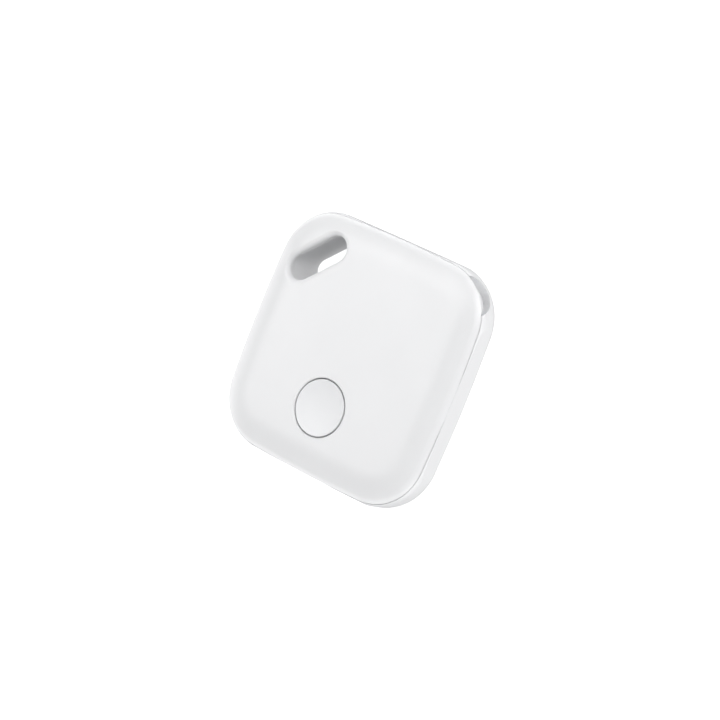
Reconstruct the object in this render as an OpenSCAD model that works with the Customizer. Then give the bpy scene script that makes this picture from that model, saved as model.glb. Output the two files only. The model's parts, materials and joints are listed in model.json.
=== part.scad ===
// Square key tracker tag: two snapped shells, a coin cell, a radio board, a buzzer disc and one button.
// The tag lies on its back. +Z leaves the front face, and +Y runs from the middle to the corner
// that holds the key slot, so a hanging tag has +Y up. The origin is the middle of the rear face.

/* [Body] */
// Side of the square body, across the middle of its sides
body_w = 38; // [36:0.5:44]
// Thickness of the body
body_t = 7.6; // [7.5:0.1:9]
// Radius of the four corners, seen from the front
corner_r = 8.5; // [8:0.1:9.5]
// Thickness of the shell walls
wall = 1.1; // [1:0.05:1.2]
// Height of the seam between the two shells
seam_z = 6.2; // [6.1:0.05:6.4]
// Width of the seam groove
seam_gap = 0.06; // [0.04:0.01:0.12]
// Bevel of the rear shell along the seam
seam_bevel = 0.12; // [0.05:0.01:0.2]

/* [Edges] */
// Front edge, radius next to the side wall
front_small = 1.95; // [1.9:0.05:2.2]
// Front edge, radius next to the front face
front_big = 9.1; // [8.5:0.1:9.5]
// Rear edge, radius next to the side wall
rear_small = 2.9; // [2.5:0.1:3.2]
// Rear edge, radius next to the rear face
rear_big = 13.3; // [12:0.1:14]

/* [Key slot] */
// Middle of the slot's front mouth, across the tag
slot_x = -0.15; // [-0.2:0.05:0]
// Middle of the slot, along the tag
slot_y = 16; // [15.9:0.05:16.1]
// Length of the slot at the front face
slot_l = 10.4; // [9.6:0.1:10.4]
// Width of the slot
slot_w = 4.06; // [4.04:0.02:4.2]
// How far the left end of the slot leans in towards the rear face
slot_taper = 0.7; // [0.3:0.1:0.9]
// Wall round the slot
slot_wall = 0.8; // [0.6:0.1:0.8]
// Rounding of the slot's front mouth
slot_round = 0.8; // [0.5:0.05:0.9]
// Bevel of the slot's rear mouth
slot_bevel = 0.25; // [0.1:0.05:0.4]

/* [Button] */
// Button, place across the tag
button_x = -6.8; // [-7.5:0.1:-6]
// Button, place along the tag
button_y = -5.5; // [-6.5:0.1:-5]
// Radius of the button cap
button_r = 4.26; // [4:0.02:4.6]
// Gap round the button cap
button_gap = 0.18; // [0.1:0.01:0.2]
// Depth of the dish in the cap
button_dish = 0.26; // [0.1:0.02:0.3]
// How far the button travels
button_travel = 0.2; // [0.15:0.05:0.25]

/* [Pry notch] */
// Half of the notch's width at the seam
notch_half_w = 3.2; // [2.5:0.1:3.5]
// Height of the notch below the seam
notch_h = 2.4; // [1.5:0.1:2.5]
// Depth of the notch into the corner
notch_d = 1.15; // [1.1:0.05:1.2]

/* [Coin cell] */
// Diameter of the coin cell
cell_d = 20; // [20:20]
// Height of the coin cell
cell_h = 3.2; // [3.2:3.2]
// Coin cell, place along the tag
cell_y = 1.9; // [1.8:0.05:1.95]

/* [Buzzer] */
// Diameter of the brass disc
piezo_d = 12; // [11:0.5:12]
// Buzzer, place along the tag
piezo_y = -14.6; // [-14.8:0.1:-14.6]

/* [Circuit board] */
// Thickness of the board
board_t = 0.6; // [0.6:0.6]
// Height of the board's lower face
board_z = 5.1; // [5.1:5.1]

/* [Hidden] */

round_fn = 96;      // facets of an ordinary circle
side_fn = 720;      // facets of the very large circle that a side belongs to
reach = 20;         // profiles run this far in from the side wall, past the middle
over = 0.4;         // how far a cutter runs past what it cuts

// A side is an arc that meets the corner arcs smoothly. The 41-840-841 triangle keeps every centre exact.
tri_a = 41;
tri_b = 840;
tri_c = 841;
tri_k = (body_w / 2 - corner_r) / (tri_a + 1);
corner_c = tri_a * tri_k;
side_c = (tri_b - tri_a) * tri_k;
side_r = tri_c * tri_k + corner_r;
corner_x = corner_c * sqrt(2);          // middle of a corner arc, on an axis

// An edge is a small and a large arc, which meet at the angle of a 5-12-13 triangle.
function edge_step(small, big) = (big - small) / 13;
function edge_rise(small, big) = big - 12 * edge_step(small, big);
front_edge_z = body_t - edge_rise(front_small, front_big);
rear_edge_z = edge_rise(rear_small, rear_big);

lid_z = body_t - wall;                  // inner face of the front shell
lid_low = seam_z + seam_gap / 2;
tray_top = seam_z - seam_gap / 2;
tongue_t = 0.7;                         // locating tongue of the front shell
tongue_play = 0.1;
tongue_in = wall + tongue_play;
tongue_low = 5.2;
tongue_root = 0.1;                      // how far the tongue reaches into the wall above it
ledge_z = 4.8;                          // ledge of the rear shell that carries the seal
ledge_in = tongue_in + tongue_t;
seal_play = 0.05;
seam_in = front_small - sqrt(pow(front_small, 2) - pow(seam_z - front_edge_z, 2)); // side wall at the seam

slot_half = (slot_l - slot_w) / 2;      // from the middle of the slot to the middle of an end
slot_lean = [4.8, 3.9];                 // angle at which the mouth follows the case edge, left and right
slot_fall = 52;                         // where the case edge falls away most, turned from the slot's length
mouth_bite = 0.03;                      // the leaning ends reach this far into the slot

board_top = board_z + board_t;
board_play = 0.45;
board_in = ledge_in + board_play;       // board edge, in from the side wall
board_cut_y = slot_y - slot_w / 2 - slot_wall - board_play;
stake_r = 0.6;                          // heat stakes of the front shell, through the board
stake_hole_r = 0.66;
stake_head_r = 1;
stake_head_h = 0.3;
stake_foot_r = 1.3;
stakes = [[13.5, 5], [-13.5, 5], [2.5, -17.2], [-2.5, -17.2]];

cell_low = wall + 0.4;                  // the cell lies on the holder's floor
cell_top = cell_low + cell_h;
cell_r = cell_d / 2;
cell_metal = 0.25;
cell_cap_r = 8.6;
cell_crimp_r = 9.3;
holder_play = 0.15;
holder_wall = 0.7;
holder_top = 4.2;
holder_r = cell_r + holder_play + holder_wall;
holder_window = 2.2;                    // half width of the window for the side contact

piezo_r = piezo_d / 2;
piezo_seat_w = 0.8;
piezo_seat_z = 2.05;
adhesive_t = 0.15;
piezo_plate_t = 0.1;
piezo_ceramic_t = 0.12;
piezo_ceramic_r = 4.5;
piezo_low = piezo_seat_z + adhesive_t;
piezo_top = piezo_low + piezo_plate_t + piezo_ceramic_t;

flange_r = button_r + 0.75;
flange_t = 0.3;
flange_low = lid_z - flange_t;
cap_top = body_t - 0.03;
cap_round = 0.16;
cap_hollow_r = 3.3;
cap_hollow_z = lid_z + 0.35;
boss_r = 0.9;
plunger_top = board_top + 0.72;
plunger_r = 0.65;
plunger_skirt = 0.25;
switch_w = 3.4;
switch_h = 0.42;
switch_floor = 0.08;
switch_pocket_r = 1.3;
dome_r = 1.15;
dome_leaf = 0.05;
dome_rise = button_travel + dome_leaf + 0.01;    // pressed flat, the dome still clears the plunger
frame_t = 0.08;
frame_play = 0.08;
button_seal_w = 0.8;

spring_r = 0.55;
wire_r = 0.11;
spring_turns = 4;
spring_step = 36;                       // degrees between rings of the spring wire
wire_sides = 6;
spring_play = 0.02;

white = [0.93, 0.935, 0.945];
black = [0.05, 0.05, 0.055];
steel = [0.78, 0.79, 0.8];
bronze = [0.8, 0.62, 0.36];
mask_green = [0.03, 0.2, 0.12];
silicone = [0.62, 0.64, 0.66];

// ---- shapes that several parts share

module side_plan() {
    polygon([[0, 0], [corner_c, corner_c], [corner_c + tri_a / 100, corner_c + tri_b / 100],
        [-corner_c - tri_a / 100, corner_c + tri_b / 100], [-corner_c, corner_c]]);
}

module corner_plan() {
    far = corner_c + tri_b / 100;
    near = corner_c + tri_a / 100;
    polygon([[corner_c, corner_c], [near, far], [far, far], [far, near]]);
}

// Carries a profile round the outline. Profile x is minus the distance in from the side wall, y is height.
module sweep() {
    rotate(45)
        for (q = [0:3])
            rotate(90 * q) {
                intersection() {
                    translate([0, -side_c, 0])
                        rotate_extrude($fn = side_fn)
                            translate([side_r, 0])
                                children();
                    translate([0, 0, -over])
                        linear_extrude(body_t + 2 * over)
                            side_plan();
                }
                intersection() {
                    translate([corner_c, corner_c, 0])
                        rotate_extrude($fn = round_fn)
                            intersection() {
                                translate([corner_r, 0])
                                    children();
                                translate([0, -over])
                                    square([corner_r + over, body_t + 2 * over]);
                            }
                    translate([0, 0, -over])
                        linear_extrude(body_t + 2 * over)
                            corner_plan();
                }
            }
}

module edge(small, big, w) {
    m = edge_step(small, big);
    intersection() {
        translate([-small, 0])
            circle(small - w, $fn = round_fn);
        polygon([[-small, 0], [-small + 10, 0], [-small + 10, 24]]);
    }
    intersection() {
        translate([-small - 5 * m, -12 * m])
            circle(big - w, $fn = 2 * round_fn);
        polygon([[-small - 5 * m, 0], [-small, 0], [-small + 5, 12], [-small - 5 * m, 12]]);
    }
    translate([-reach, 0])
        square([reach - small - 5 * m, edge_rise(small, big) - w]);
}

// Cross-section of the body, w inside its outer surface.
module body_profile(w) {
    translate([0, front_edge_z])
        edge(front_small, front_big, w);
    translate([-reach, rear_edge_z])
        square([reach - w, front_edge_z - rear_edge_z]);
    translate([0, rear_edge_z])
        mirror([0, 1])
            edge(rear_small, rear_big, w);
}

// A flat band that follows the outline, between two distances in from the side wall.
module band(from, to, low, high) {
    sweep()
        translate([-to, low])
            square([to - from, high - low]);
}

module slot_outline(grow) {
    for (side = [-1, 1])
        translate([slot_x + side * slot_half, slot_y])
            circle(slot_w / 2 + grow, $fn = round_fn);
    translate([slot_x - slot_half, slot_y - slot_w / 2 - grow])
        square([2 * slot_half, slot_w + 2 * grow]);
}

module slot_prism(grow, low, high) {
    translate([0, 0, low])
        linear_extrude(high - low)
            slot_outline(grow);
}

// What rounds the edge of a hole of radius r at height 0: the hole lies at x < r.
module mouth_profile(r, round) {
    translate([r, -round])
        difference() {
            translate([-over, 0])
                square([round + over, round + over]);
            translate([round, 0])
                circle(round, $fn = round_fn);
        }
}

// What bevels the edge of a hole of radius r at height 0.
module bevel_profile(r, size) {
    polygon([[r - over, over], [r + size + over, over], [r - over, -size - over]]);
}

// Runs a mouth's profile along the slot's two straight sides, between two places along the slot.
module slot_mouth_sides(from, to) {
    translate([(from + to) / 2, 0, 0])
        for (turn = [0, 180])
            rotate(turn)
                translate([(from - to) / 2, 0, 0])
                    rotate([90, 0, 90])
                        linear_extrude(to - from)
                            children();
}

// Rounds one end of the front mouth: once level with the face, and once leaning down with the case edge.
module slot_mouth_end(side, lean) {
    towards = side > 0 ? slot_fall : 180 - slot_fall;
    translate([0, 0, -slot_round])
        rotate(towards)
            for (tilt = [0, lean])
                rotate([0, tilt, 0])
                    rotate_extrude($fn = round_fn)
                        intersection() {
                            translate([0, slot_round])
                                mouth_profile(slot_w / 2 - mouth_bite, slot_round);
                            square([slot_w, 2 * slot_w]);
                        }
}

module front_mouth() {
    translate([slot_x, slot_y, body_t]) {
        slot_mouth_sides(-slot_half, slot_half)
            mouth_profile(slot_w / 2, slot_round);
        for (i = [0, 1])
            translate([(2 * i - 1) * slot_half, 0, 0])
                slot_mouth_end(2 * i - 1, slot_lean[i]);
    }
}

module rear_mouth() {
    left = slot_taper - slot_half;
    translate([slot_x, slot_y, 0])
        mirror([0, 0, 1]) {
            slot_mouth_sides(left, slot_half)
                bevel_profile(slot_w / 2, slot_bevel);
            for (x = [left, slot_half])
                translate([x, 0, 0])
                    rotate_extrude($fn = round_fn)
                        bevel_profile(slot_w / 2, slot_bevel);
        }
}

// The slot through the rear shell. Its left end leans in towards the rear face.
module rear_slot() {
    lean = atan(slot_taper / tray_top);
    step = tan(lean) * over;
    translate([slot_x, slot_y, 0]) {
        translate([slot_half, 0, 0])
            disc(slot_w / 2, -over, tray_top + over);
        translate([0, slot_w / 2, 0])
            rotate([90, 0, 0])
                linear_extrude(slot_w)
                    polygon([[slot_half, -over], [slot_half, tray_top + over],
                        [-slot_half - step, tray_top + over], [slot_taper - slot_half + step, -over]]);
        translate([-slot_half, 0, tray_top])
            rotate([0, -lean, 0])
                disc(slot_w / 2, -tray_top - 2 * over, 2 * over);
    }
}

module disc(r, low, high) {
    translate([0, 0, low])
        cylinder(r = r, h = high - low, $fn = round_fn);
}

module ring(outer, inner, low, high) {
    difference() {
        disc(outer, low, high);
        disc(inner, low - over, high + over);
    }
}

module at_cell() {
    translate([0, cell_y, 0])
        children();
}

module at_piezo() {
    translate([0, piezo_y, 0])
        children();
}

module at_button() {
    translate([button_x, button_y, 0])
        children();
}

// A chip or other block on the board, size = [along x, along y, height].
module on_board(place, size, turn = 0, below = false) {
    translate([place[0], place[1], below ? board_z - size[2] : board_top])
        rotate(turn)
            translate([-size[0] / 2, -size[1] / 2, 0])
                cube(size);
}

// ---- rear shell and what stays in it

module notch_cut() {
    r = (notch_half_w * notch_half_w + notch_h * notch_h) / (2 * notch_h);
    difference() {
        translate([corner_x, 0, seam_z - notch_h + r])
            rotate([0, 90, 0])
                cylinder(r = r, h = corner_r + over, $fn = round_fn);
        translate([corner_x, 0, 0])
            disc(corner_r - notch_d, -over, body_t + over);
    }
}

module tray_profile() {
    difference() {
        intersection() {
            body_profile(0);
            translate([-reach, 0])
                square([reach, tray_top]);
        }
        intersection() {
            body_profile(wall);
            translate([-reach, 0])
                square([reach - ledge_in, ledge_z + over]);
        }
        translate([-reach, ledge_z])
            square([reach - wall, body_t]);
        translate([-seam_in, tray_top - seam_bevel])
            rotate(45)
                square([body_t, 2 * seam_bevel]);
    }
}

module rear_shell() {
    color(white)
        difference() {
            union() {
                sweep()
                    tray_profile();
                slot_prism(slot_wall, wall / 2, tray_top);
                at_piezo()
                    ring(piezo_r, piezo_r - piezo_seat_w, wall / 2, piezo_seat_z);
            }
            rear_slot();
            rear_mouth();
            notch_cut();
        }
}

module case_seal() {
    color(silicone)
        band(tongue_in + seal_play, ledge_in - seal_play, ledge_z, tongue_low);
}

module battery_holder() {
    color(black)
        at_cell()
            difference() {
                disc(holder_r, wall, holder_top);
                disc(cell_r + holder_play, cell_low, holder_top + over);
                disc(cell_r / 2, 0, cell_low + over);
                translate([0, piezo_y - cell_y, 0])
                    disc(piezo_r + holder_play, 0, body_t);
                translate([cell_r / 2, -holder_window, cell_low])
                    cube([cell_r, 2 * holder_window, cell_h]);
            }
}

module piezo_adhesive() {
    color(silicone)
        at_piezo()
            ring(piezo_r, piezo_r - piezo_seat_w, piezo_seat_z, piezo_low);
}

module piezo_plate() {
    color(bronze)
        at_piezo()
            disc(piezo_r, piezo_low, piezo_low + piezo_plate_t);
}

module piezo_ceramic() {
    color(white)
        at_piezo()
            disc(piezo_ceramic_r, piezo_low + piezo_plate_t, piezo_top);
}

// ---- coin cell

module coin_cell_can() {
    color(steel)
        at_cell()
            difference() {
                disc(cell_r, cell_low, cell_top - cell_metal);
                disc(cell_r - cell_metal, cell_low + cell_metal, cell_top - 2 * cell_metal);
                disc(cell_crimp_r, cell_low + cell_metal, cell_top);
            }
}

module coin_cell_core() {
    color(black)
        at_cell()
            disc(cell_cap_r - cell_metal, cell_low + cell_metal, cell_top - cell_metal);
}

module coin_cell_gasket() {
    color(silicone)
        at_cell()
            ring(cell_crimp_r, cell_cap_r, cell_low + cell_metal, cell_top - cell_metal);
}

module coin_cell_cap() {
    color(steel)
        at_cell()
            difference() {
                disc(cell_cap_r, cell_low + 2 * cell_metal, cell_top);
                disc(cell_cap_r - cell_metal, 0, cell_top - cell_metal);
            }
}

// ---- front shell and what it carries

module lid_profile() {
    difference() {
        intersection() {
            body_profile(0);
            translate([-reach, lid_low])
                square([reach, body_t]);
        }
        body_profile(wall);
    }
    translate([-ledge_in, tongue_low])
        square([tongue_t, lid_low + tongue_root - tongue_low]);
}

module front_shell() {
    color(white)
        difference() {
            union() {
                sweep()
                    lid_profile();
                slot_prism(slot_wall, lid_low, lid_z + wall / 2);
                for (place = stakes)
                    translate(place) {
                        disc(stake_foot_r, board_top, lid_z + wall / 2);
                        disc(stake_r, board_z - stake_head_h, board_top + over);
                        disc(stake_head_r, board_z - stake_head_h, board_z);
                    }
            }
            slot_prism(0, 0, body_t + over);
            front_mouth();
            at_button()
                disc(button_r + button_gap, lid_z - over, body_t + over);
            at_button()
                translate([0, 0, body_t - cap_round])
                    cylinder(r1 = button_r + button_gap, r2 = button_r + button_gap + 2 * cap_round,
                        h = 2 * cap_round, $fn = round_fn);
        }
}

module circuit_board() {
    color(mask_green)
        difference() {
            band(board_in, reach, board_z, board_top);
            translate([-body_w, board_cut_y, 0])
                cube([2 * body_w, body_w, 2 * body_t]);
            for (place = stakes)
                translate(place)
                    disc(stake_hole_r, 0, body_t);
        }
}

module radio_chip() {
    color(black)
        on_board([-14.6, -0.5], [5, 5, 0.75], below = true);
}

module motion_sensor() {
    color(black)
        on_board([13.4, -3], [2, 2, 0.8], below = true);
}

module main_crystal() {
    color(steel)
        on_board([-12.2, -5.6], [2, 1.6, 0.5], turn = -35, below = true);
}

module sleep_crystal() {
    color(steel)
        on_board([-10.6, 7.2], [1.6, 1, 0.5], turn = 45, below = true);
}

module chip_antenna() {
    color(white)
        on_board([-18, 0], [1.6, 3.2, 0.5]);
}

module chip_capacitors() {
    color([0.6, 0.5, 0.38])
        for (i = [0:4]) {
            on_board([-14.6 + 1.4 * i, 3], [0.5, 1, 0.5]);
            on_board([6 + 1.6 * i, -6], [0.5, 1, 0.5]);
        }
}

module chip_resistors() {
    color(black)
        for (i = [0:3]) {
            on_board([-14 + 1.5 * i, 1.2], [0.5, 1, 0.35]);
            on_board([6.5 + 1.6 * i, -3.6], [0.5, 1, 0.35]);
        }
}

module chip_inductors() {
    color([0.35, 0.33, 0.32])
        for (y = [-3.4, -1.2])
            on_board([-15.6, y], [1.6, 0.8, 0.6]);
}

// Two leaf springs that lie foot to foot. A leaf has a foot on the board, a slope and a pad on the cell.
module negative_contact() {
    arm = 5;
    leaf = 0.12;
    leaf_w = 1.2;
    foot = 1.2;
    pad = 1;
    bend = 0.1;
    color(bronze)
        at_cell()
            for (turn = [0, 180])
                rotate(turn)
                    translate([0, -leaf_w, 0])
                        rotate([90, 0, 180])
                            linear_extrude(leaf_w)
                                polygon([[-arm, board_z], [-arm, board_z - leaf], [foot - arm, board_z - leaf],
                                    [-pad, cell_top], [pad, cell_top], [pad, cell_top + leaf],
                                    [bend - pad, cell_top + leaf], [foot + bend - arm, board_z]]);
}

module positive_contact() {
    plate = 0.15;
    plate_w = 3.6;
    play = 0.05;
    foot = 1.6;
    low = cell_low + 0.6;
    color(bronze)
        at_cell()
            translate([cell_r + play, -plate_w / 2, 0]) {
                translate([0, 0, low])
                    cube([plate, plate_w, board_z - low]);
                translate([0, 0, board_z - plate])
                    cube([foot, plate_w, plate]);
            }
}

function coil_ring(turn, height) = [for (s = [0:wire_sides - 1])
    let(around = s * 360 / wire_sides, r = spring_r + wire_r * cos(around))
        [r * cos(turn), r * sin(turn), height + wire_r * sin(around)]];

module coil_spring(low, high) {
    steps = spring_turns * 360 / spring_step;
    rise = (high - low - 2 * wire_r) / steps;
    points = [for (i = [0:steps]) each coil_ring(i * spring_step, low + wire_r + i * rise)];
    skin = [for (i = [0:steps - 1], s = [0:wire_sides - 1])
        let(next = (s + 1) % wire_sides)
            [i * wire_sides + s, (i + 1) * wire_sides + s, (i + 1) * wire_sides + next, i * wire_sides + next]];
    polyhedron(points, concat(skin, [[for (s = [0:wire_sides - 1]) s],
        [for (s = [wire_sides - 1:-1:0]) steps * wire_sides + s]]), convexity = 6);
}

module piezo_springs() {
    color(bronze)
        at_piezo() {
            coil_spring(piezo_top + spring_play, board_z);
            translate([piezo_r - piezo_seat_w, 0, 0])
                coil_spring(piezo_top - piezo_ceramic_t + spring_play, board_z);
        }
}

module switch_housing() {
    color(black)
        at_button()
            difference() {
                translate([-switch_w / 2, -switch_w / 2, board_top])
                    cube([switch_w, switch_w, switch_h]);
                disc(switch_pocket_r, board_top + switch_floor, body_t);
            }
}

module switch_dome() {
    big = (dome_r * dome_r + dome_rise * dome_rise) / (2 * dome_rise);
    color(steel)
        at_button()
            translate([0, 0, board_top + switch_floor])
                rotate_extrude($fn = round_fn)
                    intersection() {
                        difference() {
                            translate([0, dome_rise - big])
                                circle(big, $fn = 2 * round_fn);
                            translate([0, dome_rise - big - dome_leaf])
                                circle(big, $fn = 2 * round_fn);
                        }
                        square([dome_r, dome_rise]);
                    }
}

module switch_frame() {
    color(steel)
        at_button()
            translate([0, 0, board_top + switch_h])
                difference() {
                    translate([-switch_w / 2, -switch_w / 2, 0])
                        cube([switch_w, switch_w, frame_t]);
                    disc(plunger_r + frame_play, -over, over);
                }
}

module switch_plunger() {
    skirt = board_top + switch_floor + dome_rise;
    color(black)
        at_button() {
            disc(plunger_r, skirt, plunger_top);
            disc(plunger_r + plunger_skirt, skirt, board_top + switch_h);
        }
}

module button_seal() {
    color(silicone)
        at_button()
            ring(flange_r, flange_r - button_seal_w, board_top, flange_low);
}

module button_cap() {
    dish_r = (button_r * button_r + button_dish * button_dish) / (2 * button_dish);
    color(white)
        at_button()
            rotate_extrude($fn = round_fn)
                difference() {
                    union() {
                        translate([0, flange_low])
                            square([button_r, cap_top - cap_round - flange_low]);
                        translate([0, cap_top - 2 * cap_round])
                            square([button_r - cap_round, 2 * cap_round]);
                        translate([button_r - cap_round, cap_top - cap_round])
                            circle(cap_round, $fn = round_fn);
                        translate([0, flange_low])
                            square([flange_r, flange_t]);
                    }
                    translate([boss_r, flange_low - over])
                        square([cap_hollow_r - boss_r, cap_hollow_z + over - flange_low]);
                    translate([0, flange_low - over])
                        square([boss_r + over, plunger_top + over - flange_low]);
                    translate([0, cap_top + dish_r - button_dish])
                        circle(dish_r, $fn = 4 * round_fn);
                }
}

rear_shell();
case_seal();
battery_holder();
piezo_adhesive();
piezo_plate();
piezo_ceramic();
coin_cell_can();
coin_cell_core();
coin_cell_gasket();
coin_cell_cap();
front_shell();
circuit_board();
radio_chip();
motion_sensor();
main_crystal();
sleep_crystal();
chip_antenna();
chip_capacitors();
chip_resistors();
chip_inductors();
negative_contact();
positive_contact();
piezo_springs();
switch_housing();
switch_dome();
switch_frame();
switch_plunger();
button_seal();
button_cap();
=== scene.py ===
"""Key tracker tag on a plain pale table, in metres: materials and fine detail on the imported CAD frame."""
import json
import math
import random

import bmesh
import bpy
from mathutils import Matrix, Vector


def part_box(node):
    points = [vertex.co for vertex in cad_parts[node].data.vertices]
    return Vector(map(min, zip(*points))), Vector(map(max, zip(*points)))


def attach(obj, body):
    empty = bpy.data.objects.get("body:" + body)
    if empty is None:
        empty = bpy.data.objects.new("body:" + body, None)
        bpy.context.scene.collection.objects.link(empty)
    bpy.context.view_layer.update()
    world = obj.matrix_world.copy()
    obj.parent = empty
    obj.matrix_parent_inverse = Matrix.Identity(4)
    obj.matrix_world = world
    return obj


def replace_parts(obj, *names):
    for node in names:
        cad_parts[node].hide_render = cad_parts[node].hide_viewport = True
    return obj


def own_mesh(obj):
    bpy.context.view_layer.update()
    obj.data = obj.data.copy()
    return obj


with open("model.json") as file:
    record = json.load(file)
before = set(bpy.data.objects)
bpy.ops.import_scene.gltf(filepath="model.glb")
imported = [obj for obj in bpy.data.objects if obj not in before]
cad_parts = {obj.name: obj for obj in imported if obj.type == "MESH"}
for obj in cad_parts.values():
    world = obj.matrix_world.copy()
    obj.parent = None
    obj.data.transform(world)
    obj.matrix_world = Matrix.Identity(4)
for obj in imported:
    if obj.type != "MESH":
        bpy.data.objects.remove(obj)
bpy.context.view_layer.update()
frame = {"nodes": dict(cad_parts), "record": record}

MM = 0.001
NODES = frame["nodes"]
BODY_OF = {node: body for body, nodes in frame["record"]["behaviour"]["bodies"].items() for node in nodes}
SHELL_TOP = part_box("front_shell")[1][2]
BOARD_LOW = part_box("circuit_board")[0][2]
BOARD_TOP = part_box("circuit_board")[1][2]
TRAY_FLOOR = 1.1 * MM


def corners(node):
    """The lowest and highest corner of a node."""
    low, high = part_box(node)
    return Vector(low), Vector(high)


def middle(node):
    low, high = corners(node)
    return (low + high) / 2


CELL = middle("coin_cell_can")
BUTTON = middle("button_cap")
BUZZER = middle("piezo_plate")

# ---- camera: where it stands, seen from the middle of the tag

VIEW_AZIMUTH = math.radians(56.05)      # from -Y towards +X
VIEW_ELEVATION = math.radians(56.8)
VIEW_ROLL = math.radians(77.17)
VIEW_DISTANCE = 0.3463
LENS_MM = 117.6
SENSOR_MM = 36
FRAME_SHIFT = -0.002                    # the tag sits a hair above the middle of the frame


def direction(azimuth, elevation):
    """The unit vector towards a place in the sky, with both angles in radians."""
    level = math.cos(elevation)
    return Vector((level * math.sin(azimuth), -level * math.cos(azimuth), math.sin(elevation)))


def add_camera():
    target = Vector((0, 0, SHELL_TOP / 2))
    back = direction(VIEW_AZIMUTH, VIEW_ELEVATION)
    right = Vector((0, 0, 1)).cross(back).normalized()
    axes = Matrix((right, back.cross(right), back)).transposed().to_4x4()
    data = bpy.data.cameras.new("camera")
    data.lens = LENS_MM
    data.sensor_width = SENSOR_MM
    data.shift_y = FRAME_SHIFT
    data.clip_start = 0.01
    camera = bpy.data.objects.new("camera", data)
    place = Matrix.Translation(target + VIEW_DISTANCE * back)
    camera.matrix_world = place @ axes @ Matrix.Rotation(-VIEW_ROLL, 4, "Z")
    bpy.context.collection.objects.link(camera)
    bpy.context.scene.camera = camera


# ---- light and floor

# Brightness of the room against height: the sine of the elevation, then the level.
ROOM = ((-1.0, 0.4), (-0.6, 0.1), (-0.3, 1.5), (0.0, 1.9), (0.2, 0.4), (0.45, 0.0), (1.0, 0.0))

# Softboxes: name, azimuth, elevation in degrees, distance and size in metres, power in watts.
SOFTBOXES = (("key", 90, 40, 0.5, 0.25, 0.7),
             ("top", 180, 62, 0.5, 0.25, 0.8),
             ("back", 225, 58, 0.5, 0.25, 0.85),
             ("low_front", 0, 15, 0.5, 0.25, 0.7),
             ("low_right", 90, 15, 0.5, 0.25, 0.6),
             ("low_left", 315, 15, 0.5, 0.25, 0.4),
             ("low_back", 240, 15, 0.5, 0.25, 0.35),
             ("overhead", 0, 82, 0.5, 0.1, 0.08))


def add_world():
    world = bpy.data.worlds.new("studio")
    world.use_nodes = True
    tree = world.node_tree
    place = tree.nodes.new("ShaderNodeTexCoord")
    split = tree.nodes.new("ShaderNodeSeparateXYZ")
    height = tree.nodes.new("ShaderNodeMapRange")
    height.inputs["From Min"].default_value = -1
    ramp = tree.nodes.new("ShaderNodeValToRGB")
    tree.links.new(place.outputs["Generated"], split.inputs[0])
    tree.links.new(split.outputs["Z"], height.inputs["Value"])
    tree.links.new(height.outputs[0], ramp.inputs["Fac"])
    stops = ramp.color_ramp.elements
    while len(stops) < len(ROOM):
        stops.new(0.5)
    for stop, (sine, level) in zip(stops, ROOM):
        stop.position = (sine + 1) / 2
        stop.color = (level, level, level, 1)
    tree.links.new(ramp.outputs["Color"], tree.nodes["Background"].inputs["Color"])
    bpy.context.scene.world = world


def add_softbox(name, azimuth, elevation, distance, size, power):
    light = bpy.data.lights.new(name, "AREA")
    light.shape = "SQUARE"
    light.size = size
    light.energy = power
    lamp = bpy.data.objects.new(name, light)
    back = direction(math.radians(azimuth), math.radians(elevation))
    lamp.location = distance * back
    lamp.rotation_euler = back.to_track_quat("Z", "Y").to_euler()
    bpy.context.collection.objects.link(lamp)


def add_floor():
    """A table that glows evenly for the camera and leaves the light on the tag to the room."""
    bpy.ops.mesh.primitive_plane_add(size=6, location=(0, 0, 0))
    floor = bpy.context.object
    floor.name = "floor"
    floor.visible_diffuse = False
    floor.visible_glossy = False
    floor.visible_transmission = False
    floor.visible_shadow = False
    material = bpy.data.materials.new("lit_table")
    material.use_nodes = True
    shader = material.node_tree.nodes["Principled BSDF"]
    shader.inputs["Base Color"].default_value = (0.5, 0.5, 0.5, 1)
    shader.inputs["Roughness"].default_value = 0.9
    shader.inputs["Specular IOR Level"].default_value = 0
    shader.inputs["Emission Color"].default_value = (1, 1, 1, 1)
    shader.inputs["Emission Strength"].default_value = 1
    floor.data.materials.append(material)


# ---- materials

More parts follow.
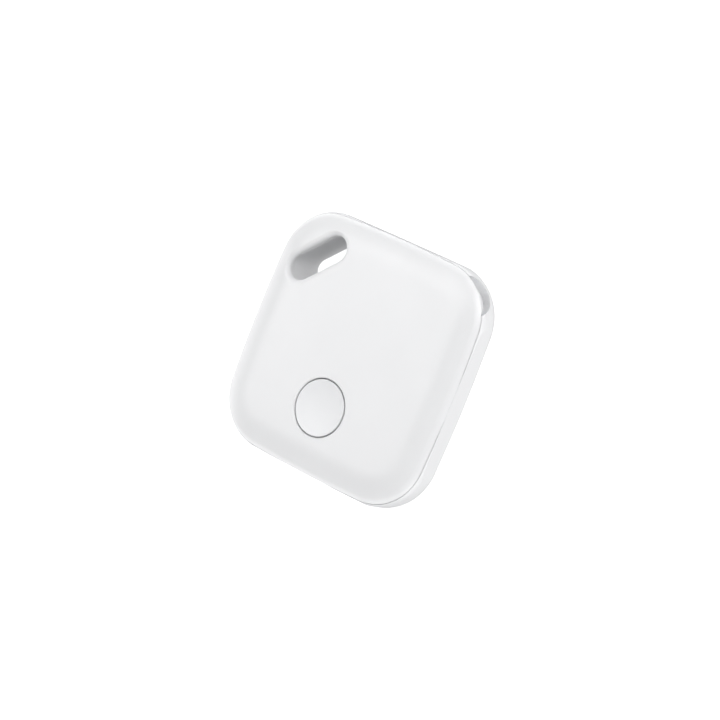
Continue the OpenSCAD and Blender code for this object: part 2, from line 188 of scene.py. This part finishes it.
class Finish:
    """A material whose colour, roughness and relief vary over the surface. Sizes are in metres."""

    def __init__(self, name, colour, roughness, metallic=0.0):
        self.material = bpy.data.materials.new(name)
        self.material.use_nodes = True
        self.tree = self.material.node_tree
        self.shader = self.tree.nodes["Principled BSDF"]
        self.shader.inputs["Base Color"].default_value = (*colour, 1)
        self.shader.inputs["Roughness"].default_value = roughness
        self.shader.inputs["Metallic"].default_value = metallic
        self.place = self.node("ShaderNodeTexCoord").outputs["Object"]

    def node(self, kind, operation=None, **values):
        """A new shader node. Each further value goes to the input of that name, with _ for a space."""
        made = self.tree.nodes.new(kind)
        if operation:
            made.operation = operation
        for name, value in values.items():
            self.feed(made.inputs[name.replace("_", " ")], value)
        return made

    def feed(self, socket, value):
        """Links a socket, or sets a plain value."""
        if isinstance(value, bpy.types.NodeSocket):
            self.tree.links.new(value, socket)
        else:
            socket.default_value = value

    def noise(self, size, detail=2.0, stretch=(1, 1, 1)):
        """Soft blotches about size across, stretched along each axis."""
        shape = [1 / (size * along) for along in stretch]
        place = self.node("ShaderNodeVectorMath", "MULTIPLY")
        self.feed(place.inputs[0], self.place)
        place.inputs[1].default_value = shape
        made = self.node("ShaderNodeTexNoise", Scale=1.0, Detail=detail)
        self.feed(made.inputs["Vector"], place.outputs[0])
        return made.outputs[0]

    def cells(self, size):
        """Distance to the nearest of many scattered points, in units of size."""
        made = self.node("ShaderNodeTexVoronoi", Scale=1 / size)
        self.feed(made.inputs["Vector"], self.place)
        return made.outputs["Distance"]

    def radius(self, centre):
        """Distance from an upright axis through centre."""
        shift = self.node("ShaderNodeVectorMath", "SUBTRACT")
        self.feed(shift.inputs[0], self.place)
        shift.inputs[1].default_value = centre
        flat = self.node("ShaderNodeVectorMath", "MULTIPLY")
        self.feed(flat.inputs[0], shift.outputs[0])
        flat.inputs[1].default_value = (1, 1, 0)
        length = self.node("ShaderNodeVectorMath", "LENGTH")
        self.feed(length.inputs[0], flat.outputs[0])
        return length.outputs["Value"]

    def rings(self, centre, pitch):
        """Uneven turning marks about pitch wide, round an upright axis."""
        made = self.node("ShaderNodeTexNoise", Scale=1 / pitch, Detail=3.0)
        made.noise_dimensions = "1D"
        self.feed(made.inputs["W"], self.radius(centre))
        return made.outputs[0]

    def steps(self, source, low, high, start=0.3, end=0.7):
        """Carries source from start..end to low..high."""
        made = self.node("ShaderNodeMapRange", Value=source)
        made.inputs["From Min"].default_value = start
        made.inputs["From Max"].default_value = end
        made.inputs["To Min"].default_value = low
        made.inputs["To Max"].default_value = high
        return made.outputs[0]

    def blend(self, share, first, second):
        """Goes from the first colour to the second as share rises from 0 to 1."""
        made = self.node("ShaderNodeMix")
        made.data_type = "RGBA"
        factor, colour_a, colour_b = made.inputs[0], made.inputs[6], made.inputs[7]
        self.feed(factor, share)
        for socket, value in ((colour_a, first), (colour_b, second)):
            self.feed(socket, value if isinstance(value, bpy.types.NodeSocket) else (*value, 1))
        return made.outputs[2]

    def clouds(self, size, dark, light, detail=2.0):
        """A colour that drifts between dark and light in soft clouds about size across."""
        return self.blend(self.steps(self.noise(size, detail), 0, 1), dark, light)

    def colour(self, source):
        self.feed(self.shader.inputs["Base Color"], source)

    def roughness(self, source):
        self.feed(self.shader.inputs["Roughness"], source)

    def relief(self, source, depth):
        """Raises the surface by up to depth where source is bright, on top of any relief that is there."""
        bump = self.node("ShaderNodeBump", Height=source, Strength=1.0, Distance=depth)
        normal = self.shader.inputs["Normal"]
        if normal.is_linked:
            self.feed(bump.inputs["Normal"], normal.links[0].from_socket)
        self.feed(normal, bump.outputs[0])


def moulded_plastic(name, colour, roughness, grain, depth, spread):
    """Injection-moulded plastic: fine tool grain, slow flow and sink marks, and faint handling smudges."""
    finish = Finish(name, colour, roughness)
    dark = [channel * (1 - spread) for channel in colour]
    finish.colour(finish.clouds(6 * MM, dark, colour))
    smudge = finish.noise(9 * MM, detail=4, stretch=(1, 2.2, 1))
    finish.roughness(finish.steps(smudge, roughness - 0.015, roughness + 0.045))
    finish.relief(finish.noise(7 * MM, detail=1), 12 * depth)
    finish.relief(finish.noise(grain), depth)
    return finish


def white_shell():
    """The case's white plastic, all but even in colour."""
    return moulded_plastic("white_plastic", (0.78, 0.783, 0.792), 0.33, 0.14 * MM, 0.0006 * MM, 0.012)


def white_button():
    """The button's own moulding: a shade smoother, with polishing rings from its round tool."""
    colour = (0.775, 0.78, 0.792)
    finish = moulded_plastic("button_plastic", colour, 0.3, 0.12 * MM, 0.0004 * MM, 0.012)
    finish.relief(finish.rings(BUTTON, 0.3 * MM), 0.0006 * MM)
    return finish


def black_plastic():
    return moulded_plastic("black_plastic", (0.028, 0.028, 0.031), 0.48, 0.16 * MM, 0.006 * MM, 0.3)


def silicone():
    """Moulded silicone: dull and slightly cloudy, with a dusting of fine specks."""
    finish = Finish("silicone", (0.5, 0.52, 0.55), 0.62)
    cloudy = finish.clouds(1.5 * MM, (0.43, 0.45, 0.48), (0.53, 0.55, 0.58))
    speck = finish.steps(finish.cells(0.5 * MM), 1, 0, 0.04, 0.09)
    finish.colour(finish.blend(speck, cloudy, (0.75, 0.75, 0.75)))
    finish.roughness(finish.steps(finish.noise(0.8 * MM), 0.55, 0.72))
    finish.relief(finish.noise(0.12 * MM), 0.004 * MM)
    return finish


def turned_metal(name, colour, centre, roughness=0.26, pitch=0.09 * MM):
    """Spun or stamped round metal: fine rings round its axis, clouding and a few small dents."""
    finish = Finish(name, colour, roughness, metallic=1)
    rings = finish.rings(centre, pitch)
    shade = [channel * 0.86 for channel in colour]
    finish.colour(finish.clouds(2.4 * MM, shade, colour, detail=4))
    finish.roughness(finish.steps(rings, roughness - 0.07, roughness + 0.1))
    finish.relief(rings, 0.0015 * MM)
    finish.relief(finish.noise(0.7 * MM), 0.002 * MM)
    return finish


def brushed_metal(name, colour, roughness=0.3, along=(14, 1, 1)):
    """Rolled strip: hairlines one way, with a little tarnish."""
    finish = Finish(name, colour, roughness, metallic=1)
    lines = finish.noise(0.04 * MM, detail=3, stretch=along)
    shade = [channel * 0.8 for channel in colour]
    finish.colour(finish.clouds(0.9 * MM, shade, colour, detail=4))
    finish.roughness(finish.steps(lines, roughness - 0.08, roughness + 0.1))
    finish.relief(lines, 0.0012 * MM)
    return finish


def tarnished_bronze():
    """Spring bronze: warm, with darker and redder clouds where it has been handled."""
    finish = Finish("spring_bronze", (0.83, 0.6, 0.33), 0.3, metallic=1)
    clean = finish.clouds(0.8 * MM, (0.66, 0.43, 0.24), (0.86, 0.64, 0.36), detail=4)
    stain = finish.steps(finish.noise(2.5 * MM, detail=5), 0, 0.6, 0.55, 0.75)
    finish.colour(finish.blend(stain, clean, (0.45, 0.24, 0.14)))
    finish.roughness(finish.steps(finish.noise(0.3 * MM), 0.22, 0.4))
    finish.relief(finish.noise(0.08 * MM, stretch=(6, 1, 1)), 0.001 * MM)
    return finish


def pad_gold():
    """Thin gold plating, a little uneven in colour and gloss."""
    finish = Finish("pad_gold", (0.92, 0.71, 0.38), 0.34, metallic=1)
    finish.colour(finish.clouds(0.5 * MM, (0.84, 0.62, 0.3), (0.94, 0.74, 0.42)))
    finish.roughness(finish.steps(finish.noise(0.1 * MM), 0.28, 0.42))
    finish.relief(finish.noise(0.07 * MM), 0.0015 * MM)
    return finish


def solder_tin():
    """Tinned ends and solder: bright, with slow ripples and a frosted skin in places."""
    finish = Finish("solder_tin", (0.75, 0.75, 0.76), 0.3, metallic=1)
    frost = finish.noise(0.3 * MM, detail=4)
    finish.colour(finish.blend(finish.steps(frost, 0, 1), (0.62, 0.62, 0.63), (0.8, 0.8, 0.81)))
    finish.roughness(finish.steps(frost, 0.2, 0.46))
    finish.relief(finish.noise(0.25 * MM), 0.008 * MM)
    return finish


def board_laminate():
    """Green solder mask over glass weave, and the bare tan laminate on the cut edges."""
    finish = Finish("board_laminate", (0.01, 0.12, 0.06), 0.28)
    pool = finish.clouds(3 * MM, (0.006, 0.085, 0.04), (0.014, 0.15, 0.075))
    weave_x = finish.noise(0.22 * MM, stretch=(7, 1, 1))
    weave_y = finish.noise(0.22 * MM, stretch=(1, 7, 1))
    weave = finish.node("ShaderNodeMath", "ADD")
    finish.feed(weave.inputs[0], weave_x)
    finish.feed(weave.inputs[1], weave_y)
    mask = finish.blend(finish.steps(weave.outputs[0], 0, 0.5, 0.85, 1.2), pool, (0.03, 0.2, 0.1))
    facing = finish.node("ShaderNodeSeparateXYZ")
    finish.feed(facing.inputs[0], finish.node("ShaderNodeNewGeometry").outputs["Normal"])
    upright = finish.node("ShaderNodeMath", "ABSOLUTE")
    finish.feed(upright.inputs[0], facing.outputs["Z"])
    edge = finish.blend(finish.steps(weave_x, 0, 1), (0.34, 0.29, 0.16), (0.46, 0.42, 0.27))
    finish.colour(finish.blend(finish.steps(upright.outputs[0], 0, 1, 0.4, 0.6), edge, mask))
    finish.roughness(finish.steps(finish.noise(0.6 * MM), 0.24, 0.36))
    finish.relief(weave.outputs[0], 0.004 * MM)
    return finish


def masked_copper():
    """Solder mask where it lies over copper: a lighter green with a soft sheen."""
    finish = Finish("masked_copper", (0.03, 0.26, 0.12), 0.26)
    finish.colour(finish.clouds(0.5 * MM, (0.022, 0.21, 0.1), (0.045, 0.3, 0.15)))
    finish.roughness(finish.steps(finish.noise(0.3 * MM), 0.22, 0.34))
    finish.relief(finish.noise(0.12 * MM), 0.003 * MM)
    return finish


def speckled(name, colour, fleck, roughness, grain=0.09 * MM, depth=0.003 * MM):
    """Moulding compound, ferrite or ceramic: a dense body with small flecks and a fine pitted skin."""
    finish = Finish(name, colour, roughness)
    shade = [channel * 0.8 for channel in colour]
    body = finish.clouds(0.7 * MM, shade, colour)
    finish.colour(finish.blend(finish.steps(finish.cells(2 * grain), 1, 0, 0.08, 0.2), body, fleck))
    finish.roughness(finish.steps(finish.noise(grain), roughness - 0.08, roughness + 0.08))
    finish.relief(finish.noise(grain), depth)
    return finish


WHITE_SHELL = white_shell().material
WHITE_BUTTON = white_button().material
BLACK_PLASTIC = black_plastic().material
SILICONE = silicone().material
CELL_STEEL = turned_metal("cell_steel", (0.58, 0.58, 0.575), CELL).material
BUZZER_BRASS = turned_metal("buzzer_brass", (0.87, 0.68, 0.36), BUZZER, 0.3, 0.12 * MM).material
BUZZER_SILVER = turned_metal("buzzer_silver", (0.8, 0.79, 0.76), BUZZER, 0.42, 0.2 * MM).material
DOME_STEEL = turned_metal("dome_steel", (0.72, 0.72, 0.72), BUTTON, 0.22, 0.05 * MM).material
STRIP_STEEL = brushed_metal("strip_steel", (0.7, 0.7, 0.7)).material
LID_STEEL = brushed_metal("lid_steel", (0.76, 0.75, 0.72), 0.36, (1, 10, 1)).material
BRONZE = tarnished_bronze().material
GOLD = pad_gold().material
TIN = solder_tin().material
BOARD_GREEN = board_laminate().material
COPPER_GREEN = masked_copper().material
CHIP_BLACK = speckled("chip_epoxy", (0.022, 0.022, 0.024), (0.05, 0.05, 0.05), 0.55).material
CERAMIC = speckled("white_ceramic", (0.78, 0.76, 0.71), (0.62, 0.58, 0.5), 0.5).material
TAN_CERAMIC = speckled("tan_ceramic", (0.42, 0.3, 0.19), (0.25, 0.17, 0.1), 0.42).material
FERRITE = speckled("ferrite", (0.085, 0.082, 0.08), (0.16, 0.15, 0.14), 0.6).material
CATHODE = speckled("cathode_powder", (0.02, 0.02, 0.021), (0.09, 0.09, 0.1), 0.8,
                   grain=0.2 * MM, depth=0.02 * MM).material
LEGEND_WHITE = speckled("board_legend", (0.75, 0.76, 0.74), (0.6, 0.62, 0.6), 0.5).material

# The material of each CAD node.
LOOKS = {
    "front_shell": WHITE_SHELL, "rear_shell": WHITE_SHELL, "button_cap": WHITE_BUTTON,
    "battery_holder": BLACK_PLASTIC, "switch_housing": BLACK_PLASTIC, "switch_plunger": BLACK_PLASTIC,
    "case_seal": SILICONE, "button_seal": SILICONE, "piezo_adhesive": SILICONE, "coin_cell_gasket": SILICONE,
    "piezo_plate": BUZZER_BRASS, "piezo_ceramic": CERAMIC,
    "coin_cell_can": CELL_STEEL, "coin_cell_cap": CELL_STEEL, "coin_cell_core": CATHODE,
    "circuit_board": BOARD_GREEN, "radio_chip": CHIP_BLACK, "motion_sensor": CHIP_BLACK,
    "main_crystal": LID_STEEL, "sleep_crystal": LID_STEEL, "chip_antenna": CERAMIC,
    "chip_capacitors": TAN_CERAMIC, "chip_resistors": CHIP_BLACK, "chip_inductors": FERRITE,
    "negative_contact": BRONZE, "positive_contact": BRONZE, "piezo_springs": BRONZE,
    "switch_dome": DOME_STEEL, "switch_frame": STRIP_STEEL,
}


def paint(piece, material):
    if piece.material_slots:
        for slot in piece.material_slots:
            slot.material = material
    else:
        piece.data.materials.append(material)


# ---- making pieces

def add_piece(name, bm, body, material, sharp=40):
    """Turns a bmesh in the frame's own coordinates into a piece that rides on a body."""
    mesh = bpy.data.meshes.new(name)
    bmesh.ops.recalc_face_normals(bm, faces=bm.faces)
    bm.to_mesh(mesh)
    bm.free()
    piece = bpy.data.objects.new(name, mesh)
    bpy.context.collection.objects.link(piece)
    for face in mesh.polygons:
        face.use_smooth = True
    mesh.set_sharp_from_angle(angle=math.radians(sharp))
    paint(piece, material)
    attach(piece, body)
    return piece


def clean_copy(node):
    """The node's own surface as a bmesh with joined corners and whole flat faces."""
    bm = bmesh.new()
    bm.from_mesh(NODES[node].data)
    bmesh.ops.remove_doubles(bm, verts=bm.verts, dist=0.0005 * MM)
    bmesh.ops.dissolve_limit(bm, angle_limit=math.radians(0.5), verts=bm.verts, edges=bm.edges)
    return bm


def round_edges(bm, radius):
    """Rounds every edge of more than 50 degrees."""
    crisp = math.radians(50)
    edges = [edge for edge in bm.edges if edge.is_manifold and edge.calc_face_angle() > crisp]
    bmesh.ops.bevel(bm, geom=edges, offset=radius, segments=2, profile=0.5, affect="EDGES",
                    clamp_overlap=True)


def soften(node, radius):
    """Stands in for a CAD node: the same shape, with its sharp edges rounded like a moulding or stamping."""
    bm = clean_copy(node)
    round_edges(bm, radius)
    piece = add_piece(node + "_body", bm, BODY_OF[node], LOOKS[node])
    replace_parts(piece, node)
    return piece


def solids(node):
    """The lowest and highest corner of each separate solid of a node."""
    bm = clean_copy(node)
    waiting = set(bm.verts)
    boxes = []
    while waiting:
        found = [waiting.pop()]
        for vert in found:
            for edge in vert.link_edges:
                other = edge.other_vert(vert)
                if other in waiting:
                    waiting.remove(other)
                    found.append(other)
        low = Vector([min(vert.co[axis] for vert in found) for axis in range(3)])
        high = Vector([max(vert.co[axis] for vert in found) for axis in range(3)])
        boxes.append((low, high))
    bm.free()
    return sorted(boxes, key=lambda box: tuple(box[0]))


def add_block(bm, low, high, round_by):
    """A block with all its edges rounded."""
    centre = (low + high) / 2
    size = high - low
    made = bmesh.ops.create_cube(bm, size=1, matrix=Matrix.Translation(centre) @ Matrix.Diagonal((*size, 1)))
    edges = list({edge for vert in made["verts"] for edge in vert.link_edges})
    bmesh.ops.bevel(bm, geom=edges, offset=round_by, segments=2, profile=0.5, affect="EDGES")


def add_turning(bm, centre, outline, steps):
    """Turns an outline of (radius, height) pairs round an upright axis through centre."""
    rings = []
    for radius, height in outline:
        ring = []
        for step in range(steps if radius else 1):
            turn = 2 * math.pi * step / steps
            ring.append(bm.verts.new((centre[0] + radius * math.cos(turn),
                                      centre[1] + radius * math.sin(turn), height)))
        rings.append(ring)
    for lower, upper in zip(rings, rings[1:]):
        for step in range(steps):
            after = (step + 1) % steps
            around = [lower[step % len(lower)], lower[after % len(lower)],
                      upper[after % len(upper)], upper[step % len(upper)]]
            bm.faces.new(list(dict.fromkeys(around)))


def add_dot(bm, centre, radius, low, high, steps=24):
    """A flat disc with a rolled edge, thickening from low to high, which may be above or below."""
    soft = min(abs(high - low), radius / 2)
    add_turning(bm, centre, ((0, low), (radius, low), (radius - 0.3 * soft, low + 0.8 * (high - low)),
                             (radius - soft, high), (0, high)), steps)


def add_ring(bm, centre, outer, inner, low, high, steps=32):
    """A flat ring with sloping sides, thickening from low to high."""
    edge = 0.3 * (outer - inner)
    outline = ((inner, low), (outer, low), (outer - edge, high), (inner + edge, high), (inner, low))
    add_turning(bm, centre, outline, steps)


def add_ribbon(bm, points, width, low, high):
    """A flat strip along a path in the plane, with square ends and mitred corners."""
    sides = []
    for i, point in enumerate(points):
        before = (point - points[i - 1]).normalized() if i else None
        after = (points[i + 1] - point).normalized() if i + 1 < len(points) else None
        along = ((before or after) + (after or before)).normalized()
        across = Vector((-along.y, along.x))
        reach = width / 2 / max(0.3, along.dot(before or after))
        sides.append([point + across * reach * side for side in (1, -1)])
    loops = []
    for left, right in sides:
        around = ((left, low), (left, high), (right, high), (right, low))
        loops.append([bm.verts.new((*place, z)) for place, z in around])
    for first, second in zip(loops, loops[1:]):
        for i in range(4):
            bm.faces.new((first[i], first[(i + 1) % 4], second[(i + 1) % 4], second[i]))
    bm.faces.new(loops[0])
    bm.faces.new(loops[-1])


# ---- the tray: shell, seal, holder, buzzer and cell

def add_pin_marks():
    """Round witness marks that the mould's ejector pins leave on the floor of the rear shell."""
    bm = bmesh.new()
    for x, y in ((-13.2, -6.5), (13.2, -6.5), (-12.6, 9.2), (12.6, 9.2), (0, -20.2)):
        place = (x * MM, y * MM)
        add_ring(bm, place, 1.1 * MM, 0.85 * MM, TRAY_FLOOR, TRAY_FLOOR + 0.09 * MM)
        add_dot(bm, place, 0.15 * MM, TRAY_FLOOR, TRAY_FLOOR + 0.05 * MM)
    add_piece("tray_pin_marks", bm, "root", WHITE_SHELL)


def add_buzzer_electrode():
    """The silver layer fired on the buzzer's ceramic, with the two solder spots that feed it."""
    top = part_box("piezo_ceramic")[1][2]
    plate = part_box("piezo_plate")[1][2]
    bm = bmesh.new()
    add_dot(bm, BUZZER, 4.1 * MM, top, top + 0.015 * MM, 96)
    add_piece("buzzer_electrode", bm, "root", BUZZER_SILVER)
    bm = bmesh.new()
    for x, y, base in ((-2.6, -1.4, top), (-4.4, -2.9, plate)):
        centre = BUZZER + Vector((x, y, 0)) * MM
        dome = [(0.55 * math.cos(turn), 0.24 * math.sin(turn)) for turn in (0, 0.4, 0.8, 1.2)]
        outline = [(radius * MM, base + height * MM) for radius, height in [(0, 0), *dome, (0, 0.24)]]
        add_turning(bm, centre, outline, 24)
    add_piece("buzzer_solder", bm, "root", TIN)


def add_cell_details():
    """The can's rolled lip round the gasket, and the shallow pressed ring of the cell's cap."""
    can_low, can_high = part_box("coin_cell_can")
    cap_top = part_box("coin_cell_cap")[1][2]
    lip = can_high[2]
    radius = (can_high[0] - can_low[0]) / 2
    bm = bmesh.new()
    arc_steps = 12
    section = []
    for step in range(arc_steps + 1):
        turn = math.pi * step / arc_steps
        section.append((radius - 0.36 * MM + 0.33 * MM * math.cos(turn), lip + 0.16 * MM * math.sin(turn)))
    add_turning(bm, CELL, section + [section[0]], 96)
    add_piece("cell_lip", bm, "cell", CELL_STEEL)
    bm = bmesh.new()
    for ring in (7.2, 6.7):
        add_ring(bm, CELL, ring * MM, (ring - 0.22) * MM, cap_top, cap_top + 0.03 * MM, 96)
    add_piece("cell_cap_rings", bm, "cell", CELL_STEEL)


# ---- the board and what is on it

def spring_path(centre, low, high, radius, wire):
    """The middle line of a coil spring whose first and last turn lie all but closed."""
    turns = 6
    steps = 28 * turns
    end_rise = 1.6 * wire
    open_rise = high - low - 2 * wire - 2 * end_rise
    points = []
    for step in range(steps + 1):
        turn = turns * step / steps
        closed_turns = min(turn, 1) + max(turn - turns + 1, 0)
        open_share = min(max((turn - 1) / (turns - 2), 0), 1)
        height = low + wire + closed_turns * end_rise + open_share * open_rise
        angle = 2 * math.pi * turn
        x = centre.x + radius * math.cos(angle)
        y = centre.y + radius * math.sin(angle)
        points.append(Vector((x, y, height)))
    return points


def add_tube(bm, points, radius):
    """A round wire along a path, closed at both ends."""
    sides = 10
    turns = [2 * math.pi * k / sides for k in range(sides)]
    rings = []
    for i, point in enumerate(points):
        along = (points[min(i + 1, len(points) - 1)] - points[max(i - 1, 0)]).normalized()
        side = along.cross(Vector((0, 0, 1))).normalized()
        up = side.cross(along)
        rings.append([bm.verts.new(point + radius * (side * math.cos(turn) + up * math.sin(turn)))
                      for turn in turns])
    for first, second in zip(rings, rings[1:]):
        for k in range(sides):
            bm.faces.new((first[k], first[(k + 1) % sides], second[(k + 1) % sides], second[k]))
    bm.faces.new(rings[0])
    bm.faces.new(rings[-1])


def add_dome():
    """The switch's snap dome, as a piece on the cover with a mesh of its own."""
    dome = add_piece("snap_dome", clean_copy("switch_dome"), "cover", DOME_STEEL, 60)
    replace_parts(dome, "switch_dome")
    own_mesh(dome)


def add_button_seal():
    """The silicone ring under the button, its edges softened, on a mesh of its own."""
    seal = soften("button_seal", 0.12 * MM)
    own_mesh(seal)


def add_springs():
    """The two springs that reach from the board down to the buzzer, as round wire with closed ends."""
    bm = bmesh.new()
    for low, high in solids("piezo_springs"):
        centre = (low + high) / 2
        wire = 0.11 * MM
        radius = (high.y - low.y) / 2 - wire
        add_tube(bm, spring_path(centre, low.z, high.z, radius, wire), wire)
    piece = add_piece("buzzer_springs", bm, "cover", BRONZE)
    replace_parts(piece, "piezo_springs")


def add_end_caps(node, share, name):
    """Tinned ends on every part of a node, wrapped round its longer way."""
    proud = 0.02 * MM
    bm = bmesh.new()
    for low, high in solids(node):
        axis = 0 if high.x - low.x > high.y - low.y else 1
        length = (high[axis] - low[axis]) * share
        for end in (0, 1):
            first = low - Vector((proud, proud, 0))
            second = high + Vector((proud, proud, 0))
            if low.z < BOARD_LOW:
                first.z -= proud
            else:
                second.z += proud
            if end:
                first[axis] = high[axis] - length
            else:
                second[axis] = low[axis] + length
            add_block(bm, first, second, 0.04 * MM)
    add_piece(name, bm, BODY_OF[node], TIN)


def add_chip_pads(node, count, name):
    """A row of solder joints along each side of a leadless chip under the board."""
    low, high = corners(node)
    out = 0.16 * MM
    half = 0.09 * MM
    bm = bmesh.new()
    for axis, other in ((0, 1), (1, 0)):
        for i in range(count):
            along = low[axis] + (high[axis] - low[axis]) * (i + 1) / (count + 1)
            for side in (low[other], high[other]):
                first = Vector((0, 0, BOARD_LOW - 0.1 * MM))
                second = Vector((0, 0, BOARD_LOW))
                first[axis], second[axis] = along - half, along + half
                first[other], second[other] = side - out, side + out
                add_block(bm, first, second, 0.03 * MM)
    add_piece(name, bm, "cover", TIN)


def add_chip_marks():
    """The round dimple mark beside pin 1 on the radio chip and on the motion sensor."""
    bm = bmesh.new()
    for node, inset, size in (("radio_chip", 0.7, 0.28), ("motion_sensor", 0.4, 0.14)):
        low, high = corners(node)
        centre = (low.x + inset * MM, high.y - inset * MM)
        add_ring(bm, centre, size * MM, 0.6 * size * MM, low.z, low.z - 0.012 * MM, 20)
    add_piece("chip_marks", bm, "cover", FERRITE)


def add_lid_rims():
    """The two crystals, each with the raised field of its welded lid."""
    for node in ("main_crystal", "sleep_crystal"):
        bm = clean_copy(node)
        outer = min(bm.faces, key=lambda face: face.calc_center_median().z)
        bmesh.ops.inset_region(bm, faces=[outer], thickness=0.12 * MM)
        outer = min(bm.faces, key=lambda face: (round(face.calc_center_median().z / MM, 4),
                                                -face.calc_area()))
        moved = bmesh.ops.extrude_face_region(bm, geom=[outer])
        verts = [part for part in moved["geom"] if isinstance(part, bmesh.types.BMVert)]
        bmesh.ops.delete(bm, geom=[outer], context="FACES")
        bmesh.ops.translate(bm, verts=verts, vec=(0, 0, -0.08 * MM))
        round_edges(bm, 0.04 * MM)
        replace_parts(add_piece(node + "_lid", bm, "cover", LID_STEEL), node)


TRACK_WIDTH = 0.12 * MM
COPPER = 0.02 * MM                      # how far tracks stand out of the board


def trace_route(start, end, lane):
    """A board track from start to end: out along X to its lane, a 45 degree jog, then straight in."""
    across = end - start
    jog = min(abs(across.x), abs(across.y))
    corner = start + Vector((lane, 0))
    bend = corner + Vector((math.copysign(jog, across.x), math.copysign(jog, across.y))) * 0.5
    return [start, corner, bend, Vector((bend.x, end.y)), end]


def add_tracks():
    """Copper tracks under the mask on both faces, from the radio chip to its neighbours."""
    radio = middle("radio_chip").to_2d()
    under = bmesh.new()
    targets = ("main_crystal", "sleep_crystal", "motion_sensor", "negative_contact", "positive_contact")
    for i, node in enumerate(targets):
        for second in (0, 1):
            start = radio + Vector((2.4, 0.5 * (i - 2) + 0.22 * second)) * MM
            end = middle(node).to_2d() + Vector((0, 0.3 * second)) * MM
            route = trace_route(start, end, (0.6 + 0.25 * i) * MM)
            add_ribbon(under, route, TRACK_WIDTH, BOARD_LOW - COPPER, BOARD_LOW)
    add_piece("tracks_below", under, "cover", COPPER_GREEN)
    above = bmesh.new()
    antenna = middle("chip_antenna").to_2d()
    for i, (low, high) in enumerate(solids("chip_capacitors") + solids("chip_resistors")):
        centre = ((low + high) / 2).to_2d()
        start = centre + Vector((0, 0.7)) * MM
        end = start + Vector((0.5 if i % 2 else -0.5, 1.1 + 0.3 * (i % 3))) * MM
        add_ribbon(above, [centre, start, end], TRACK_WIDTH, BOARD_TOP, BOARD_TOP + COPPER)
    feed = [antenna + Vector((0.9, 0)) * MM, radio + Vector((-1.6, 0)) * MM, radio]
    add_ribbon(above, feed, 0.4 * MM, BOARD_TOP, BOARD_TOP + COPPER)
    add_piece("tracks_above", above, "cover", COPPER_GREEN)


def add_pads():
    """Gold: pads under the buzzer springs, a line of test points, and via rings scattered over the board."""
    thick = 0.03 * MM
    chance = random.Random(7)
    bm = bmesh.new()
    for low, high in solids("piezo_springs"):
        add_dot(bm, (low + high) / 2, 0.95 * MM, BOARD_LOW, BOARD_LOW - thick)
    for i in range(5):
        add_dot(bm, ((4.4 + 1.3 * i) * MM, -11.2 * MM), 0.42 * MM, BOARD_LOW, BOARD_LOW - thick)
    for face, out in ((BOARD_LOW, -thick), (BOARD_TOP, thick)):
        for _ in range(36):
            turn = chance.uniform(0, 2 * math.pi)
            far = chance.uniform(8.5, 15.5) * MM
            place = (far * math.cos(turn), far * math.sin(turn) * 0.7)
            add_ring(bm, place, 0.24 * MM, 0.11 * MM, face, face + out, 16)
    add_piece("board_pads", bm, "cover", GOLD)


def add_legend():
    """White corner strokes of the printed legend round the larger parts, with no lettering."""
    bm = bmesh.new()
    stroke = 0.13 * MM
    arm = 0.8 * MM
    for node, gap in (("radio_chip", 0.35), ("motion_sensor", 0.3)):
        low, high = corners(node)
        for x, toward_x in ((low.x - gap * MM, 1), (high.x + gap * MM, -1)):
            for y, toward_y in ((low.y - gap * MM, 1), (high.y + gap * MM, -1)):
                corner = Vector((x, y))
                path = [corner + Vector((toward_x * arm, 0)), corner, corner + Vector((0, toward_y * arm))]
                add_ribbon(bm, path, stroke, BOARD_LOW - 0.015 * MM, BOARD_LOW)
    add_piece("board_legend", bm, "cover", LEGEND_WHITE)


# ---- the whole picture

# How far the edges of each node are rounded, in millimetres.
SOFTENED = {
    "battery_holder": 0.12, "case_seal": 0.1, "coin_cell_can": 0.18, "coin_cell_cap": 0.16,
    "radio_chip": 0.06, "motion_sensor": 0.04, "chip_antenna": 0.05, "chip_capacitors": 0.04,
    "chip_resistors": 0.03, "chip_inductors": 0.05, "switch_housing": 0.06, "switch_plunger": 0.08,
    "negative_contact": 0.03, "positive_contact": 0.04, "switch_frame": 0.02,
}

# Parts with tinned ends: node, share of the length that each end covers, and the piece's name.
TINNED_ENDS = (("chip_capacitors", 0.24, "capacitor_ends"),
               ("chip_resistors", 0.2, "resistor_ends"),
               ("chip_inductors", 0.22, "inductor_ends"),
               ("chip_antenna", 0.16, "antenna_ends"))

add_camera()
add_world()
add_floor()
for softbox in SOFTBOXES:
    add_softbox(*softbox)

for node, material in LOOKS.items():
    paint(NODES[node], material)
for node, radius in SOFTENED.items():
    soften(node, radius * MM)

add_pin_marks()
add_buzzer_electrode()
add_cell_details()
add_springs()
add_dome()
add_button_seal()
for tinned in TINNED_ENDS:
    add_end_caps(*tinned)
add_chip_pads("radio_chip", 8, "radio_joints")
add_chip_pads("motion_sensor", 3, "sensor_joints")
add_chip_marks()
add_lid_rims()
add_tracks()
add_pads()
add_legend()

bpy.context.scene.view_settings.view_transform = "Standard"
